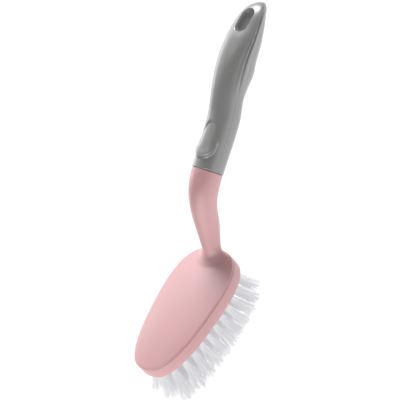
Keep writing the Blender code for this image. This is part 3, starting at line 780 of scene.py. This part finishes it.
def make_tuft(name, tip, root):
    """One tuft: every filament is a closed thin tube."""
    dice = random.Random(name)
    ring = np.arange(FILAMENT_SIDES)
    points, faces = [], []
    for path in filament_paths(tip, root, dice):
        start = len(points) * FILAMENT_SIDES
        angle = turn(FILAMENT_SIDES, dice.random())
        section = stack(np.cos(angle), np.sin(angle), 0) * FILAMENT_RADIUS
        points += [place + section for place in path]
        for k in range(len(path) - 1):
            low, high = start + k * FILAMENT_SIDES, start + (k + 1) * FILAMENT_SIDES
            faces += [(low + i, low + (i + 1) % FILAMENT_SIDES, high + (i + 1) % FILAMENT_SIDES, high + i)
                      for i in ring]
        faces.append(tuple(start + ring))
        faces.append(tuple(start + (len(path) - 1) * FILAMENT_SIDES + ring))
    return new_piece(name, np.concatenate(points), faces, sharp=FILAMENT_SHARP_ANGLE)


# Materials


def set_inputs(node, inputs):
    """Sets a node's sockets by their labels, with _ for each space."""
    for label, value in inputs.items():
        node.inputs[label.replace("_", " ")].default_value = value


def new_material(name, colour, roughness, **inputs):
    """A Principled material; uniform values sit on the shader's own sockets."""
    material = bpy.data.materials.new(name)
    material.use_nodes = True
    shader = material.node_tree.nodes["Principled BSDF"]
    shader.inputs["Base Color"].default_value = (*colour, 1)
    shader.inputs["Roughness"].default_value = roughness
    set_inputs(shader, inputs)
    return material, material.node_tree, shader


def add_node(tree, kind, **inputs):
    """A new node with some of its sockets set."""
    node = tree.nodes.new(kind)
    set_inputs(node, inputs)
    return node


def add_noise(tree, **inputs):
    """Noise in the object's own coordinates."""
    places = tree.nodes.new("ShaderNodeTexCoord")
    noise = add_node(tree, "ShaderNodeTexNoise", **inputs)
    tree.links.new(places.outputs["Object"], noise.inputs["Vector"])
    return noise.outputs["Fac"]


def tint(tree, shader, colour, noise, darker, lighter):
    """Lets the noise move the base colour between two shares of itself."""
    mix = tree.nodes.new("ShaderNodeMixRGB")
    mix.inputs["Color1"].default_value = (*(c * darker for c in colour), 1)
    mix.inputs["Color2"].default_value = (*(min(c * lighter, 1) for c in colour), 1)
    tree.links.new(noise, mix.inputs["Fac"])
    tree.links.new(mix.outputs["Color"], shader.inputs["Base Color"])


def moulded_plastic(name, colour, roughness, **inputs):
    """Moulded plastic: a fine grain in the gloss and the bump, and a faint mottle in the colour."""
    material, tree, shader = new_material(name, colour, roughness, **inputs)
    fine = add_noise(tree, Scale=GRAIN_SCALE, Detail=3.0, Roughness=0.6)
    broad = add_noise(tree, Scale=MOTTLE_SCALE, Detail=2.0)
    tint(tree, shader, colour, broad, 1 - MOTTLE, 1 + MOTTLE)
    gloss = add_node(
        tree, "ShaderNodeMapRange", From_Min=0.3, From_Max=0.7,
        To_Min=roughness + GLOSS_WANDER[0], To_Max=roughness + GLOSS_WANDER[1],
    )
    tree.links.new(fine, gloss.inputs["Value"])
    tree.links.new(gloss.outputs["Result"], shader.inputs["Roughness"])
    bump = add_node(tree, "ShaderNodeBump", Strength=GRAIN, Distance=GRAIN_DEPTH)
    tree.links.new(fine, bump.inputs["Height"])
    tree.links.new(bump.outputs["Normal"], shader.inputs["Normal"])
    return material


def pink_plastic(name, colour):
    """Soft pink plastic that lets a little light in."""
    return moulded_plastic(
        name, colour, PINK_ROUGHNESS, Specular_IOR_Level=0.9,
        Subsurface_Weight=0.35, Subsurface_Radius=(1.0, 0.35, 0.3), Subsurface_Scale=0.004,
    )


def grey_plastic():
    """Grey plastic under a thin glossy skin."""
    return moulded_plastic(
        "grey_plastic", GRIP_GREY, GREY_ROUGHNESS,
        Specular_IOR_Level=0.85, Coat_Weight=0.5, Coat_Roughness=0.2,
    )


def nylon():
    """Milky filament that lets some light through, with faint streaks and a painted glow that stands in
    for the light passed between filaments.
    """
    # painted glow: a faint emission on the filaments, not a lamp
    material, tree, shader = new_material(
        "nylon", NYLON_WHITE, NYLON_ROUGHNESS, Transmission_Weight=0.25, IOR=1.53,
        Emission_Color=(0.97, 0.97, 1, 1), Emission_Strength=NYLON_PAINTED_GLOW,
    )
    streaks = add_noise(tree, Scale=STREAK_SCALE, Detail=2.0)
    tint(tree, shader, NYLON_WHITE, streaks, 0.96, 1.05)
    return material


# Studio


def make_floor():
    """A pale floor that stays almost white in its own light."""
    corners = ((-1, -1), (1, -1), (1, 1), (-1, 1))
    points = [(x * FLOOR_REACH, y * FLOOR_REACH, 0) for x, y in corners]
    floor = new_piece("floor", points, [(0, 1, 2, 3)])
    floor.location.z = -FILAMENT_RADIUS
    material, _, _ = new_material(
        "floor", (FLOOR_GREY, FLOOR_GREY, FLOOR_GREY), 0.9,
        Specular_IOR_Level=0.0, Emission_Color=(1, 1, 1, 1), Emission_Strength=FLOOR_GLOW,
    )
    floor.data.materials.append(material)


def direction(azimuth, elevation):
    """The unit vector towards an azimuth and an elevation in degrees."""
    azimuth, elevation = math.radians(azimuth), math.radians(elevation)
    flat = math.cos(elevation)
    return Vector((flat * math.cos(azimuth), flat * math.sin(azimuth), math.sin(elevation)))


def add_math(tree, kind, operation, first, *values):
    """A math node fed by one socket; the values fill its other inputs."""
    node = tree.nodes.new(kind)
    node.operation = operation
    tree.links.new(first, node.inputs[0])
    for i, value in enumerate(values, start=1):
        node.inputs[i].default_value = value
    return node.outputs["Value"]


def light_lobes(tree):
    """The strength of all lobes together, in the direction that a ray takes."""
    way = tree.nodes.new("ShaderNodeTexCoord").outputs["Generated"]
    total = None
    for azimuth, elevation, sharpness, strength in LIGHT_LOBES:
        towards = direction(azimuth, elevation)
        facing = add_math(tree, "ShaderNodeVectorMath", "DOT_PRODUCT", way, towards)
        front = add_math(tree, "ShaderNodeMath", "MAXIMUM", facing, 0)
        lobe = add_math(tree, "ShaderNodeMath", "POWER", front, sharpness)
        added = add_math(tree, "ShaderNodeMath", "MULTIPLY_ADD", lobe, strength, 0)
        if total:
            tree.links.new(total, added.node.inputs[2])
        total = added
    return total


def make_world():
    """Soft lobes of light all round; the camera itself sees a plain pale backdrop."""
    world = bpy.data.worlds.new("studio")
    bpy.context.scene.world = world
    world.use_nodes = True
    tree = world.node_tree
    light = tree.nodes["Background"]
    light.inputs["Color"].default_value = (1, 1, 1, 1)
    tree.links.new(light_lobes(tree), light.inputs["Strength"])
    backdrop = add_node(
        tree, "ShaderNodeBackground", Color=(BACKDROP_GREY, BACKDROP_GREY, BACKDROP_GREY, 1),
    )
    rays = tree.nodes.new("ShaderNodeLightPath")
    seen = tree.nodes.new("ShaderNodeMixShader")
    tree.links.new(rays.outputs["Is Camera Ray"], seen.inputs[0])
    tree.links.new(light.outputs["Background"], seen.inputs[1])
    tree.links.new(backdrop.outputs["Background"], seen.inputs[2])
    tree.links.new(seen.outputs["Shader"], tree.nodes["World Output"].inputs["Surface"])


def camera_axes():
    """The image's right and up, and the way back to the camera."""
    towards = direction(CAMERA_AZIMUTH, CAMERA_ELEVATION)
    level = direction(CAMERA_AZIMUTH + 90, 0)
    roll = math.radians(CAMERA_ROLL)
    right = level * math.cos(roll) + towards.cross(level) * math.sin(roll)
    return right, towards.cross(right), towards


def make_camera():
    """A long lens from the photograph's side; the anchor point falls on its pixel."""
    image_right, image_up, towards = camera_axes()
    half = IMAGE_PIXELS / 2
    right = (half - ANCHOR_PIXEL[0]) / PIXELS_PER_METRE
    up = (ANCHOR_PIXEL[1] - half) / PIXELS_PER_METRE
    target = ANCHOR_POINT + image_right * right + image_up * up
    data = bpy.data.cameras.new("camera")
    data.type = "PERSP"
    data.sensor_width = SENSOR_WIDTH
    data.lens = SENSOR_WIDTH * CAMERA_DISTANCE * PIXELS_PER_METRE / IMAGE_PIXELS
    data.clip_end = 10 * CAMERA_DISTANCE
    camera = bpy.data.objects.new("camera", data)
    bpy.context.scene.collection.objects.link(camera)
    axes = Matrix((image_right, image_up, towards)).transposed().to_4x4()
    camera.matrix_world = Matrix.Translation(target + towards * CAMERA_DISTANCE) @ axes
    bpy.context.scene.camera = camera


def main():
    """Puts every piece in its place, then adds the studio and the camera."""
    pink = pink_plastic("pink_plastic", PINK)
    block_pink = pink_plastic("block_plastic", BLOCK_PINK)
    white = nylon()
    tufts = [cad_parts[n] for n in sorted(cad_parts) if n.startswith("tuft_")]
    dress(make_head(), pink, "pink_plastic", "head_and_neck")
    dress(make_block(tufts), block_pink, "block_plastic", "bristle_block")
    dress(make_grip(), grey_plastic(), "grey_plastic", "handle_grip")
    for node in tufts:
        tip, root = tuft_ends(node)
        dress(make_tuft(node.name.replace("tuft", "bristles"), tip, root), white, "white_nylon", node.name)
    make_floor()
    make_world()
    make_camera()
    bpy.context.scene.view_settings.view_transform = "Standard"


main()
